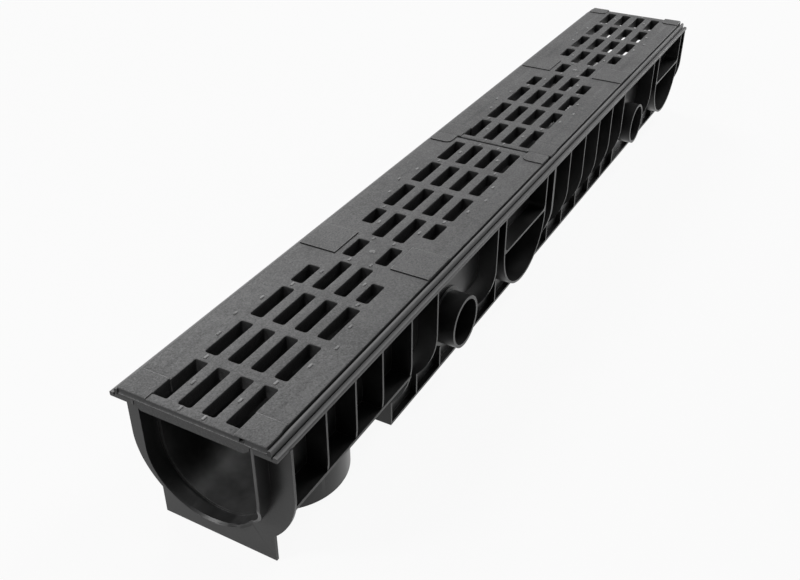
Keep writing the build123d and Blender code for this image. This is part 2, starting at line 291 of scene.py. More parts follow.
def buildPlastic():
    look = plasticLook
    material, tree, shader = newMaterial("channelPlastic")
    grain = useGroup(tree, castGrain, look["grain"])
    rubAndHighlight = useGroup(tree, edgeWearHighlight, look["rubAndHighlight"])
    unshaded = useGroup(tree, recessShade, look["recessShade"])
    coords = tree.nodes.new("ShaderNodeTexCoord")
    place = tree.nodes.new("ShaderNodeSeparateXYZ")
    tree.links.new(coords.outputs["Object"], place.inputs[0])
    skin = mixColour(tree, grain.outputs["Cloud"], look["deep"], look["worn"])
    # painted shade: bays, slots and corners are painted near black
    base = mixColour(tree, unshaded.outputs["Mask"], look["paintedShade"], skin)
    # the inside of the trough is painted lighter and cloudy, a painted pool of light: it lies nearest to the
    # trough's axis
    below = mathNode(tree, "SUBTRACT", look["troughAxis"], place.outputs["Z"])
    below = mathNode(tree, "MAXIMUM", below, 0.0)
    away = mathNode(tree, "MULTIPLY", place.outputs["Y"], place.outputs["Y"])
    away = mathNode(tree, "ADD", away, mathNode(tree, "MULTIPLY", below, below))
    away = mathNode(tree, "SQRT", away)
    inside = remap(tree, away, look["troughReach"], look["troughReach"] - look["troughLightFade"])
    troughLit = mixColour(tree, grain.outputs["Cloud"], look["deep"], look["troughLight"])
    base = mixColour(tree, inside, base, troughLit)
    # painted highlights on the edges, faint on the end that faces the next channel
    along = facing(tree, "X")
    edge = mathNode(tree, "MULTIPLY", rubAndHighlight.outputs["Mask"],
                    remap(tree, along, -0.9, -0.3, look["endHighlight"], look["sideHighlight"]))
    base = mixColour(tree, edge, base, look["edge"])
    # the tops of the rim are painted grey, a painted highlight that is weaker in corners; they are also
    # rougher
    high = remap(tree, place.outputs["Z"], look["rimLow"], look["rimHigh"])
    rimScuffAndLight = mathNode(tree, "MULTIPLY", high, remap(tree, along, -0.9, -0.5))
    rimScuffAndLight = mathNode(tree, "MULTIPLY", rimScuffAndLight, remap(tree, unshaded.outputs["Mask"], 0.0, 0.5, 0.3, 1.0))
    base = mixColour(tree, rimScuffAndLight, base, look["rim"])
    tree.links.new(base, shader.inputs["Base Color"])
    rough = remap(tree, grain.outputs["Cloud"], 0.0, 1.0, look["polished"], look["dull"])
    rough = mathNode(tree, "ADD", rough, mathNode(tree, "MULTIPLY", high, look["rimScuffAndLight"]))
    tree.links.new(rough, shader.inputs["Roughness"])
    finishSurface(tree, shader, grain, look)
    return material


grateIron = buildIron()
channelPlastic = buildPlastic()
print("materials made")


# Outlines and solids, in millimetres

def roundedPath(corners, radii):
    # outline of straight runs with the given rounding at each corner
    points = []
    for i, corner in enumerate(corners):
        here, last = Vector(corner), Vector(corners[i - 1])
        following = Vector(corners[(i + 1) % len(corners)])
        if not radii[i]:
            points.append(tuple(here))
            continue
        into, out = (here - last).normalized(), (following - here).normalized()
        centre = here - radii[i] * into + radii[i] * out
        for k in range(6):
            turn = math.pi / 2 * k / 5
            points.append(tuple(centre + radii[i] * (into * math.sin(turn) - out * math.cos(turn))))
    return points


def circlePath(centreA, centreB, radius, count=80):
    turns = [math.tau * k / count for k in range(count)]
    return [(centreA + radius * math.cos(t), centreB + radius * math.sin(t)) for t in turns]


def halfRoundPath(radius, axis, top, middle=0.0, lowest=None, count=64):
    # U outline; lowest cuts the half-round part off at a level
    points = [(middle - radius, top)]
    for k in range(count + 1):
        turn = math.pi * k / count
        level = axis - radius * math.sin(turn)
        if lowest is None or level > lowest + 0.05:
            points.append((middle - radius * math.cos(turn), level))
        elif len(points) < 3 or points[-1][1] > lowest:
            reach = math.sqrt(radius ** 2 - (axis - lowest) ** 2)
            points += [(middle - reach, lowest), (middle + reach, lowest)]
    points.append((middle + radius, top))
    return points


def prism(path, axis, start, end, endPath=None):
    # closed solid drawn from an outline across x, y or z, to a second outline if there is one
    orders = {"x": lambda a, b, c: (c, a, b), "y": lambda a, b, c: (a, c, b), "z": lambda a, b, c: (a, b, c)}
    place = orders[axis]
    shape = bmesh.new()
    near = [shape.verts.new(place(a, b, start)) for a, b in path]
    far = [shape.verts.new(place(a, b, end)) for a, b in endPath or path]
    shape.faces.new(near)
    shape.faces.new(far)
    for i in range(len(path)):
        j = (i + 1) % len(path)
        shape.faces.new((near[i], near[j], far[j], far[i]))
    bmesh.ops.recalc_face_normals(shape, faces=shape.faces)
    mesh = bpy.data.meshes.new("tool")
    shape.to_mesh(mesh)
    shape.free()
    tool = bpy.data.objects.new("tool", mesh)
    bpy.context.scene.collection.objects.link(tool)
    return tool


def block(x0, x1, y0, y1, z0, z1):
    return prism([(x0, y0), (x1, y0), (x1, y1), (x0, y1)], "z", z0, z1)


def joinSolids(base, steps):
    # runs a list of (operation, tool) on a base solid and leaves the finished mesh in it
    for operation, tool in steps:
        modifier = base.modifiers.new("step", "BOOLEAN")
        modifier.solver = "MANIFOLD"
        modifier.operation = operation
        modifier.object = tool
    graph = bpy.context.evaluated_depsgraph_get()
    finished = bpy.data.meshes.new_from_object(base.evaluated_get(graph))
    base.modifiers.clear()
    spare = base.data
    base.data = finished
    bpy.data.meshes.remove(spare)
    for operation, tool in steps:
        mesh = tool.data
        bpy.data.objects.remove(tool)
        bpy.data.meshes.remove(mesh)


def scaleToMetres(mesh):
    for vertex in mesh.vertices:
        vertex.co *= mm


def shadeSmooth(mesh, sharpAngle):
    for polygon in mesh.polygons:
        polygon.use_smooth = True
    mesh.set_sharp_from_angle(angle=math.radians(sharpAngle))


add, cut = "UNION", "DIFFERENCE"


# Grates. Sizes in millimetres: x from the grate's own near end, y across, z above the bearing face

grateSizes = {
    "halfWidth": 64.0,
    "ear": 0.9,
    "earLength": 18.0,
    "earFade": 3.0,
    "farSetback": 2.5,
    "farPadInner": 41.0,
    "edgeRound": 0.9,
    "frameHalf": 50.0,
    "frameStep": 0.15,
    "frameDepth": 4.2,
    "barDepth": 5.7,
    "nearBarDepth": 7.0,
    "farBarDepth": 8.8,
    "endBarHalf": 45.0,
    "endBarRise": 4.0,
    "plate": 6.4,
    "longSlot": 46.0,
    "shortSlot": 28.5,
    "middleSlot": 30.0,
    "slotWidth": 11.6,
    "slotRound": 2.0,
    "slotFlare": 0.8,
    "slotPitch": 56.1,
    "rowPitch": 20.9,
    "middleRows": 16.4,
    "middleGap": 50.8,
    "nearMargin": 7.3,
    "farMargin": 12.1,
    "nearJogEnd": 26.0,
    "nearJogEdge": 38.3,
    "jogReach": 0.6,
    "jogInnerRound": 0.2,
    "jogOuterRound": 1.6,
    "padSlope": 0.25,
    "padGroove": 0.9,
    "grooveDrop": 0.5,
    "nubHalf": 1.5,
    "nubRadius": 1.4,
    "nubRise": 0.95,
    "nubPastEnd": 3.2,
    "bossRadius": 3.2,
    "unevenness": 0.07,
    "edgeStep": 4.0,
    "gridStep": 6.5,
    "gridRows": 9,
    "notchAcross": 44.0,
    "notchHalf": 2.2,
    "notchHeight": 3.4,
    "notchDepth": 4.0,
    "notchCover": 1.5,
    "sharpAngle": 38,
    # how far the skin stands out from the top's border, and how far it lies below the top
    "outerSkin": [(0.42, 0.08), (0.72, 0.36), (0.9, 0.9), (0.9, 1.6), (0.9, 4.7), (0.9, 5.2)],
    "slotSkin": [(0.36, 0.07), (0.64, 0.30), (0.8, 0.8), (0.72, 2.4), (0.62, 4.0), (0.45, 5.2)],
    "outerFoot": 0.9,
    "slotFoot": 0.42,
    # hollows of the near end face: from and to this far below the top, and how deep
    "endFace": 1.2,
    "endHollows": [(1.2, 2.0, 1.2), (4.0, 4.9, 0.5)],
}

# how far the grid of loose points keeps from what is drawn on the top face, in millimetres
gridRoom = {
    "edge": 1.5,
    "slot": 1.0,
    "padOut": 1.2,
    "padIn": 1.8,
    "nubAlong": 4.0,
    "nubAcross": 2.4,
    "boss": 5.0,
}


def traceCorners(corners, radii, step):
    # rounded outline of a path with right-angled corners, points every step along its straight runs
    count = len(corners)
    points = []
    for i in range(count):
        corner = Vector(corners[i])
        into = (corner - Vector(corners[i - 1])).normalized()
        out = (Vector(corners[(i + 1) % count]) - corner).normalized()
        radius = radii[i]
        centre = corner - radius * into + radius * out
        pieces = max(2, round(radius * 1.6)) if radius > 0.25 else 1
        for k in range(pieces + 1):
            turn = math.pi / 2 * k / pieces
            points.append(centre + radius * (into * math.sin(turn) - out * math.cos(turn)))
        follow = Vector(corners[(i + 1) % count]) - radii[(i + 1) % count] * out
        run = (follow - points[-1]).length
        cuts = int(run / step)
        for k in range(1, cuts):
            points.append(points[-1].lerp(follow, 1 / (cuts - k + 1)))
    return points


def slotOutline(s, centreX, centreY, slotLength):
    # corners and radii of one slot at the grate's top face
    half = s["slotWidth"] / 2 + s["slotFlare"]
    reachX = slotLength / 2 + s["slotFlare"]
    left, right = centreX - reachX, centreX + reachX
    if left < s["nearMargin"] + 1 and abs(centreY) > s["rowPitch"]:
        # the outer slots at the near end are cut wider, as far as the raised corner's edge
        side = 1 if centreY > 0 else -1
        inner, outer = centreY - side * half, centreY + side * half
        jog = side * (s["nearJogEdge"] + s["jogReach"])
        corners = [(left, inner), (right, inner), (right, outer), (s["nearJogEnd"], outer),
                   (s["nearJogEnd"], jog), (left, jog)]
        radii = [s["slotRound"]] * 3 + [s["jogInnerRound"]] * 2 + [s["jogOuterRound"]]
        return (corners, radii) if side > 0 else (corners[::-1], radii[::-1])
    low, high = centreY - half, centreY + half
    radius = s["slotRound"] + s["slotFlare"]
    return [(left, low), (right, low), (right, high), (left, high)], [radius] * 4


def slotPaths(s, middle):
    # every slot of the grate: four rows of four on each side of the middle, and two in the middle
    paths = []
    for side in (-1, 1):
        for column in range(4):
            end = s["middleGap"] / 2 + s["slotPitch"] * column + s["longSlot"]
            for row in (-1.5, -0.5, 0.5, 1.5):
                slotLength = s["shortSlot"] if column == 0 and abs(row) > 1 else s["longSlot"]
                centreX = middle + side * (end - slotLength / 2)
                paths.append(slotOutline(s, centreX, row * s["rowPitch"], slotLength))
        paths.append(slotOutline(s, middle, side * s["middleRows"], s["middleSlot"]))
    return paths


def padShapes(s, length):
    # (left, right, inner edge, corner round, rise) of the raised pads, alike on both sides
    return [
        (length / 2 - 20, length / 2 + 20, 27.5, 0.4, 1.0),
        (length - 20.5, length + 30, 41.2, 7.0, 1.0),
        (-30, 26.0, s["nearJogEdge"], 0.4, 0.6),
    ]


def insidePad(pad, x, y):
    # how far a point lies inside a pad's outline
    left, right, inner, corner, rise = pad
    middleX, halfX = (left + right) / 2, (right - left) / 2
    dx = abs(x - middleX) - halfX + corner
    dy = inner + corner - abs(y)
    outside = math.hypot(max(dx, 0), max(dy, 0)) + min(max(dx, dy), 0)
    return corner - outside


def nubPlaces(s, middle, reach):
    first = (s["middleGap"] + s["middleSlot"]) / 4
    last = reach + s["nubPastEnd"]
    places = []
    for i, row in enumerate((1, 2, 3, 4, 4.5, 4, 3, 2, 1)):
        away = min(first + i * s["slotPitch"] / 2, last)
        for a in (-1, 1):
            for b in (-1, 1):
                places.append((middle + a * away, b * row * s["rowPitch"] / 2))
    return places


def gratePlan(node):
    # places on one grate, worked out from its solid's box
    s = grateSizes
    low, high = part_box(node)
    length = (high.x - low.x) / mm
    inset = s["edgeRound"]
    reach = (length - s["nearMargin"] - s["farMargin"]) / 2
    middle = s["nearMargin"] + reach
    return SimpleNamespace(
        startX=low.x / mm,
        seatZ=low.z / mm + s["frameDepth"],
        length=length,
        inset=inset,
        side=s["halfWidth"] - inset,
        far=length - inset,
        setback=length - inset - s["farSetback"],
        padEdge=s["farPadInner"] + inset,
        middle=middle,
        slots=slotPaths(s, middle),
        pads=padShapes(s, length),
        nubs=nubPlaces(s, middle, reach),
        nearBar=s["nearMargin"] - s["slotFlare"],
        farBar=length - s["farMargin"] + s["slotFlare"],
    )


def padLine(plan, pad, sign, grow):
    # a line along a raised pad's edge, moved outward or inward from it
    left, right, inner, corner, rise = pad
    radius = max(corner - grow, 0.1)
    x0, x1, yi = left + grow, right - grow, inner + grow
    turns = [math.pi / 2 * k / 6 for k in range(7)]
    offsets = [(radius * (1 - math.cos(turn)), radius * (1 - math.sin(turn))) for turn in turns]
    line = []
    if x0 > 0:
        line.append((x0, sign * plan.side))
        line += [(x0 + a, sign * (yi + b)) for a, b in offsets]
    else:
        line.append((plan.inset, sign * yi))
    if x1 < plan.length:
        line += [(x1 - b, sign * (yi + a)) for a, b in offsets]
        line.append((x1, sign * plan.side))
    else:
        line.append((plan.setback if grow <= 0 else plan.far, sign * yi))
    return line


def nubLine(s, x, y, share):
    # a long rounded ring round a nub, at a share of its width
    radius = s["nubRadius"] * share
    ring = []
    for k in range(14):
        turn = math.tau * k / 14
        shift = s["nubHalf"] * (1 if math.cos(turn) > 0 else -1)
        ring.append((x + shift + radius * math.cos(turn), y + radius * math.sin(turn)))
    return ring


def drawnLines(s, plan):
    # the lines that the top and the underside bend along, as (points, closed)
    lines = []
    for pad in plan.pads:
        for sign in (-1, 1):
            for grow in (-s["padGroove"], 0.0, s["padSlope"]):
                lines.append((padLine(plan, pad, sign, grow), False))
    for x, y in plan.nubs:
        lines += [(nubLine(s, x, y, share), True) for share in (1.0, 0.86, 0.5)]
    for share in (1.0, 0.8, 0.45):
        lines.append((circlePath(plan.middle, 0, s["bossRadius"] * share, 14), True))
    frameHalf, barHalf = s["frameHalf"], s["endBarHalf"]
    for shift in (0.1, 0.5):
        for x in (plan.nearBar - shift, plan.farBar + shift):
            lines.append(([(x, -frameHalf), (x, frameHalf)], False))
    for sign in (-1, 1):
        for x0, x1 in ((plan.inset, plan.nearBar - 0.5), (plan.farBar + 0.5, plan.setback)):
            lines.append(([(x0, sign * barHalf), (x1, sign * barHalf)], False))
        for y in (frameHalf, frameHalf + s["frameStep"]):
            end = plan.setback if y < plan.padEdge else plan.far
            lines.append(([(plan.inset, sign * y), (end, sign * y)], False))
    return lines


def gridPoints(s, plan):
    # loose points on the open parts of the top, where the casting is uneven
    room, step = gridRoom, s["gridStep"]
    clear = room["slot"]
    boxes = []
    for corners, radii in plan.slots:
        xs, ys = [c[0] for c in corners], [c[1] for c in corners]
        boxes.append((min(xs) - clear, max(xs) + clear, min(ys) - clear, max(ys) + clear))
    points = []
    for i in range(1, int(plan.length / step)):
        for j in range(-s["gridRows"], s["gridRows"] + 1):
            x, y = i * step, j * step
            if abs(y) > plan.side - room["edge"] or x > plan.setback - room["edge"]:
                continue
            nearSlot = any(a < x < b and c < y < d for a, b, c, d in boxes)
            nearPad = any(-room["padOut"] < insidePad(pad, x, y) < room["padIn"] for pad in plan.pads)
            nearNub = any(
                abs(x - a) < room["nubAlong"] and abs(y - b) < room["nubAcross"] for a, b in plan.nubs
            )
            nearBoss = math.hypot(x - plan.middle, y) < room["boss"]
            if not (nearSlot or nearPad or nearNub or nearBoss):
                points.append(Vector((x, y)))
    return points


def inPolygon(x, y, polygon):
    inside = False
    j = len(polygon) - 1
    for i in range(len(polygon)):
        xi, yi = polygon[i]
        xj, yj = polygon[j]
        if (yi > y) != (yj > y) and x < (xj - xi) * (y - yi) / (yj - yi) + xi:
            inside = not inside
        j = i
    return inside


def topSheet(s, plan):
    # flat points and triangles of the top face, with the slots left open
    outerCorners = [(plan.inset, -plan.side), (plan.far, -plan.side), (plan.far, -plan.padEdge),
                    (plan.setback, -plan.padEdge), (plan.setback, plan.padEdge), (plan.far, plan.padEdge),
                    (plan.far, plan.side), (plan.inset, plan.side)]
    outer = traceCorners(outerCorners, [0.5, 1.6, 0.5, 0.3, 0.3, 0.5, 1.6, 0.5], s["edgeStep"])
    holes = [traceCorners(corners, radii, s["edgeStep"]) for corners, radii in plan.slots]
    points, edges = [], []
    for path, closed in [(outer, True)] + [(hole, True) for hole in holes] + drawnLines(s, plan):
        base, count = len(points), len(path)
        points += [Vector((p[0], p[1])) for p in path]
        edges += [(base + i, base + (i + 1) % count) for i in range(count if closed else count - 1)]
    points += gridPoints(s, plan)
    verts, _, faces, _, _, _ = delaunay_2d_cdt(points, edges, [], 0, 1e-4, False)

    holeBoxes = []
    for hole in holes:
        xs, ys = [p.x for p in hole], [p.y for p in hole]
        holeBoxes.append((min(xs), max(xs), min(ys), max(ys), hole))
    kept = []
    for face in faces:
        cx = sum(verts[i].x for i in face) / 3
        cy = sum(verts[i].y for i in face) / 3
        inHole = any(a < cx < b and c < cy < d and inPolygon(cx, cy, hole) for a, b, c, d, hole in holeBoxes)
        if inPolygon(cx, cy, outer) and not inHole:
            kept.append(tuple(face))
    used = sorted({i for face in kept for i in face})
    place = {old: new for new, old in enumerate(used)}
    return [verts[i] for i in used], [tuple(place[i] for i in face) for face in kept]


def borderOf(faces):
    # for each point on the border of a sheet of triangles, the next point along it
    directed = {(f[i], f[(i + 1) % 3]) for f in faces for i in range(3)}
    return {a: b for a, b in directed if (b, a) not in directed}


def offIron(last, here, following):
    # mitred normal that points off the iron, into a slot or past the edge
    into, out = (here - last).normalized(), (following - here).normalized()
    n1, n2 = Vector((into.y, -into.x)), Vector((out.y, -out.x))
    return (n1 + n2) / max(0.6, 1 + n1.dot(n2))


def topHeight(s, plan, x, y):
    # rise of the top face above the plate: pads, the grooves round them, boss and nubs
    rise = 0.0
    for pad in plan.pads:
        deep = insidePad(pad, x, y)
        if deep > 0.01:
            rise = pad[4] * min(deep / s["padSlope"], 1)
        elif deep > -s["padGroove"]:
            rise = -s["grooveDrop"] * (1 + deep / s["padGroove"])
    away = math.hypot(x - plan.middle, y) / s["bossRadius"]
    if away < 1:
        rise = s["nubRise"] * (1 - away ** 2.5)
    for a, b in plan.nubs:
        if abs(x - a) < 3 and abs(y - b) < 1.5:
            across = math.hypot(max(abs(x - a) - s["nubHalf"], 0), y - b) / s["nubRadius"]
            if across < 1:
                rise = max(rise, s["nubRise"] * math.sqrt(max(0, 1 - across ** 2.4)))
    return rise


def bottomHeight(s, plan, x, y):
    # the frame's bars hang below the bearing face, deepest at the two ends
    if abs(y) > s["frameHalf"] + s["frameStep"] / 3:
        return 0.0
    if plan.nearBar - 0.3 < x < plan.farBar + 0.3:
        return -s["barDepth"]
    slant = max(abs(y) - s["endBarHalf"], 0) / (s["frameHalf"] - s["endBarHalf"])
    return -s["nearBarDepth" if x < plan.middle else "farBarDepth"] + s["endBarRise"] * slant


def wornShare(s, plan, x, y):
    # 1 on the tops of the nubs and the boss, which are rubbed bright and carry a painted highlight
    onNub = any(abs(x - a) < 2.4 and abs(y - b) < 0.95 for a, b in plan.nubs)
    return 1.0 if onNub or math.hypot(x - plan.middle, y) < s["bossRadius"] * 0.8 else 0.0


def uneven(p, amount, seed):
    # slow and fine waves of the cast faces
    wave = noise.noise_vector(Vector((p[0] * 0.11, p[1] * 0.11, p[2] * 0.2 + seed)))
    fine = noise.noise_vector(Vector((p[0] * 0.45, p[1] * 0.45, p[2] * 0.45 + seed)))
    return Vector(p) + (wave + 0.6 * fine) * amount


def castSkin(s, plan, flat, topFaces):
    # closed skin from the top sheet: rounded rims, flanks and the underside
    def isOuter(i):
        x, y = flat[i]
        return abs(y) > plan.side - 0.02 or x < plan.inset + 1.7 or x > plan.setback - 0.02

    follow = borderOf(topFaces)
    before = {b: a for a, b in follow.items()}
    normals = {i: offIron(flat[before[i]], flat[i], flat[follow[i]]) for i in follow}
    coords = [(p.x, p.y, s["plate"] + topHeight(s, plan, p.x, p.y)) for p in flat]
    faces = list(topFaces)
    ring = {i: i for i in follow}
    for outerLevel, slotLevel in zip(s["outerSkin"], s["slotSkin"]):
        nextRing = {}
        for i in follow:
            shift, drop = outerLevel if isOuter(i) else slotLevel
            p = flat[i] + normals[i] * shift
            rise = topHeight(s, plan, flat[i].x, flat[i].y) if drop < 1 else 0
            nextRing[i] = len(coords)
            coords.append((p.x, p.y, s["plate"] + rise - drop))
        faces += [(ring[i], nextRing[i], nextRing[j], ring[j]) for i, j in follow.items()]
        ring = nextRing
    under = len(coords)
    for i, p in enumerate(flat):
        q = p
        if i in follow:
            q = p + normals[i] * (s["outerFoot"] if isOuter(i) else s["slotFoot"])
        coords.append((q.x, q.y, bottomHeight(s, plan, p.x, p.y)))
    faces += [(ring[i], under + i, under + j, ring[j]) for i, j in follow.items()]
    faces += [tuple(under + i for i in reversed(face)) for face in topFaces]
    return coords, faces, under


def castPoints(s, plan, coords, under, seed):
    # the skin's points with the ears, the hollow near end face and the unevenness, in metres
    finished = []
    for k, (x, y, z) in enumerate(coords):
        if abs(y) > plan.side - 1:
            share = min(max((s["earLength"] + s["earFade"] / 2 - x) / s["earFade"], 0), 1)
            y += s["ear"] * share * (1 if y > 0 else -1)
        if x < s["endFace"]:
            drop = s["plate"] - z
            x += sum(depth for start, stop, depth in s["endHollows"] if start < drop < stop)
        amount = s["unevenness"] if k < under else s["unevenness"] * 0.5
        q = uneven((x, y, z), amount, seed)
        finished.append(((q.x + plan.startX) * mm, q.y * mm, (q.z + plan.seatZ) * mm))
    return finished


def buildGrate(node, seed):
    s = grateSizes
    plan = gratePlan(node)
    flat, topFaces = topSheet(s, plan)
    coords, faces, under = castSkin(s, plan, flat, topFaces)
    mesh = bpy.data.meshes.new(node + "Cast")
    mesh.from_pydata(castPoints(s, plan, coords, under, seed), [], faces)
    mesh.update()
    # the tops of the nubs and the boss: wear with a painted highlight
    worn = mesh.attributes.new("worn", "FLOAT", "POINT")
    for i, p in enumerate(flat):
        worn.data[i].value = wornShare(s, plan, p.x, p.y)
    piece = bpy.data.objects.new(node + "Cast", mesh)
    bpy.context.scene.collection.objects.link(piece)
    shadeSmooth(mesh, s["sharpAngle"])
    mesh.materials.append(grateIron)

    # the small notch under the near edge
    notchTop = plan.seatZ + s["plate"] - s["notchCover"]
    notch = block(plan.startX - 2, plan.startX + s["notchDepth"], -s["notchAcross"] - s["notchHalf"],
                  -s["notchAcross"] + s["notchHalf"], notchTop - s["notchHeight"], notchTop)
    scaleToMetres(notch.data)
    joinSolids(piece, [(cut, notch)])
    piece.data.set_sharp_from_angle(angle=math.radians(s["sharpAngle"]))
    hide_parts(node)
    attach(piece, "root")
    print(node, "cast:", len(piece.data.polygons), "faces,", len(flat), "points on top")


noise.seed_set(7)        # without a seed the cast faces would differ from run to run
buildGrate("front_grate", 3.0)
buildGrate("rear_grate", 41.0)


# Channel body, in millimetres: x along the channel from its middle, y across, z up from the ground

bodySizes = {
    "halfLength": 500.0,
    "rimHalf": 73.0,
    "rimTop": 122.6,
    "rimThickness": 4.0,
    "rimRound": 0.8,
    "upstandInner": 65.0,
    "upstandOuter": 68.0,
    "upstandHeight": 4.6,
    "upstandRound": 1.2,
    "grooveWidth": 1.2,
    "grooveDepth": 2.2,
    "troughRadius": 51.0,
    "shellRadius": 53.5,
    "troughAxis": 72.0,
    "ribRadius": 72.0,
    "ribAxis": 74.0,
    "ribThickness": 2.0,
    "ribPitch": 46.0,
    "middleRibThickness": 4.5,
    "plateThickness": 2.5,
    "plateX": -486.0,
    "nearPlateHalf": 73.6,
    "nearPlateBelly": 69.0,
    "footHalf": 52.5,
    "footWallSetback": 6.0,
    "footWall": 2.2,
    "footStrip": 2.4,
    "shelfTop": 62.0,
    "shelfThickness": 2.5,
    "shelfHalf": 71.5,
    "shelfEnd": -313.0,
    "shortRibs": (-440.0, -400.0, -360.0),
    "outletX": -401.0,
    "outletRadius": 55.0,
    "outletBore": 52.0,
    "outletBottom": 5.5,
    "spoutX": (-216.0, 288.0),
    "spoutZ": 57.5,
    "spoutRadius": 25.0,
    "spoutBore": 22.0,
    "spoutReach": 75.0,
    "spoutBaseRadius": 28.5,
    "spoutBaseReach": 55.5,
    "pocketX": (-72.0, 430.0),
    "pocketRadius": 53.0,
    "pocketBore": 50.8,
    "pocketAxis": 77.0,
    "pocketReach": 71.5,
    "pocketShelfTop": 80.0,
    "pocketShelfThickness": 2.2,
    "pocketRound": 6.0,
    "pocketCeiling": 0.6,
    "pocketRibs": (-144.0, 352.0),
    "pocketWebOffset": 24.0,
    "pocketWebSink": 1.1,
    "tongueFront": 63.0,
    "tongueBack": 32.0,
    "tongueFrontRise": 2.2,
    "tongueBackDrop": 3.3,
    "tongueBackPast": 1.5,
    "collarX": -494.5,
    "collarRadius": 55.3,
    "collarEnd": 33.0,
    "collarFade": 22.0,
    "collarSideBack": 1.0,
    "collarMiddleFront": 4.5,
    "collarTurnFront": 3.4,
    "collarTurn": 9.0,
    "recessX": -478.0,
    "recessRadius": 53.0,
    "recessWall": 2.5,
    "recessFlare": 1.4,
    "lipReach": 2.0,
    "lipDepth": 2.4,
    "lipFront": 0.3,
    "lipInset": 0.2,
    "overlap": 0.5,
    "past": 90.0,
    "sharpAngle": 28,
}


def footedPath(s, half=None, belly=None):
    # outline of a rib: straight sides, a round belly and a foot
    half, belly = half or s["ribRadius"], belly or s["ribRadius"]
    reach, turns = s["footHalf"], 30
    full = math.acos(reach / half)
    arc = [(half * math.cos(full * k / turns), s["ribAxis"] - belly * math.sin(full * k / turns))
           for k in range(turns + 1)]
    right = [(half, underRim(s))] + arc + [(reach, 0.0)]
    return right + [(-y, z) for y, z in reversed(right)]


def underRim(s):
    # what hangs on the rim runs a little way into it
    return s["rimTop"] - s["rimThickness"] + s["overlap"]


def shellPath(s, radius):
    return halfRoundPath(radius, s["troughAxis"], underRim(s))


def ribPlaces(s):
    # full ribs, and the middles of the webs that carry on below the spouts
    full, webs = [], []
    starts = (s["shelfEnd"], s["ribPitch"])
    for start, spout in zip(starts, s["spoutX"]):
        x = start
        while x <= spout - s["spoutRadius"]:
            full.append(x)
            x += s["ribPitch"]
        webs.append(x)
    return full + list(s["pocketRibs"]), webs


def ribSteps(s):
    # the full ribs, the thick one in the middle and the plates at both ends
    thin, thick, end = s["ribThickness"] / 2, s["middleRibThickness"] / 2, s["halfLength"]
    rib = footedPath(s)
    ribs, _ = ribPlaces(s)
    steps = [(add, prism(rib, "x", x - thin, x + thin)) for x in ribs]
    steps.append((add, prism(rib, "x", -thick, thick)))
    nearPlate = footedPath(s, s["nearPlateHalf"], s["nearPlateBelly"])
    steps.append((add, prism(nearPlate, "x", s["plateX"], s["plateX"] + s["plateThickness"])))
    steps.append((add, prism(rib, "x", end - s["plateThickness"], end)))
    return steps


def footSteps(s):
    # the two foot walls with their strips on the ground, and the webs between them
    steps = []
    thin, footHalf, end = s["ribThickness"] / 2, s["footHalf"], s["halfLength"]
    footTop = s["ribAxis"] - math.sqrt(s["ribRadius"] ** 2 - footHalf ** 2)
    outer = footHalf - s["footWallSetback"]
    inner = outer - s["footWall"]
    for side in (-1, 1):
        for reach, top in ((outer, footTop), (footHalf, s["footStrip"])):
            low, high = sorted((side * inner, side * reach))
            steps.append((add, block(s["shelfEnd"], end, low, high, 0, top)))
    _, spoutWebs = ribPlaces(s)
    pocketRadius = s["pocketRadius"] - s["pocketWebSink"]
    webTop = s["pocketAxis"] - math.sqrt(pocketRadius ** 2 - s["pocketWebOffset"] ** 2)
    webs = [(x, footTop) for x in spoutWebs]
    webs += [(x + side * s["pocketWebOffset"], webTop) for x in s["pocketX"] for side in (-1, 1)]
    for x, top in webs:
        steps.append((add, block(x - thin, x + thin, -footHalf, footHalf, 0, top)))
    return steps


def outletSteps(s):
    # the shelf near the jointed end, its short ribs above and the round outlet below
    thin, overlap = s["ribThickness"] / 2, s["overlap"]
    shortRib = halfRoundPath(s["ribRadius"], s["ribAxis"], underRim(s), lowest=s["shelfTop"] - overlap)
    steps = [(add, prism(shortRib, "x", x - thin, x + thin)) for x in s["shortRibs"]]
    shelf = block(s["plateX"], s["shelfEnd"], -s["shelfHalf"], s["shelfHalf"],
                  s["shelfTop"] - s["shelfThickness"], s["shelfTop"])
    outlet = circlePath(s["outletX"], 0, s["outletRadius"], 120)
    return steps + [(add, shelf), (add, prism(outlet, "z", s["outletBottom"], s["shelfTop"] - overlap))]


def branchSteps(s):
    # the round spouts and the half-round pockets on both sides
    steps = []
    spoutRings = ((s["spoutRadius"], s["spoutReach"]), (s["spoutBaseRadius"], s["spoutBaseReach"]))
    for x in s["spoutX"]:
        for radius, reach in spoutRings:
            steps.append((add, prism(circlePath(x, s["spoutZ"], radius), "y", -reach, reach)))
    for x in s["pocketX"]:
        path = halfRoundPath(s["pocketRadius"], s["pocketAxis"], underRim(s), x)
        steps.append((add, prism(path, "y", -s["pocketReach"], s["pocketReach"])))
    return steps


def boreSteps(s):
    # the insides of the outlet, the spouts and the pockets, with a shelf left across each pocket
    past, r, low = s["past"], s["pocketBore"], s["pocketShelfTop"]
    bore = circlePath(s["outletX"], 0, s["outletBore"], 120)
    steps = [(cut, prism(bore, "z", s["outletBottom"] - 5, s["shelfTop"] - s["shelfThickness"]))]
    for x in s["spoutX"]:
        steps.append((cut, prism(circlePath(x, s["spoutZ"], s["spoutBore"]), "y", -past, past)))
    for x in s["pocketX"]:
        top = s["rimTop"] - s["rimThickness"] + s["pocketCeiling"]
        corners = [(x - r, top), (x - r, low), (x + r, low), (x + r, top)]
        upper = roundedPath(corners, [0, s["pocketRound"], s["pocketRound"], 0])
        lower = halfRoundPath(r, s["pocketAxis"], low - s["pocketShelfThickness"], x)
        steps += [(cut, prism(upper, "y", -past, past)), (cut, prism(lower, "y", -past, past))]
    return steps


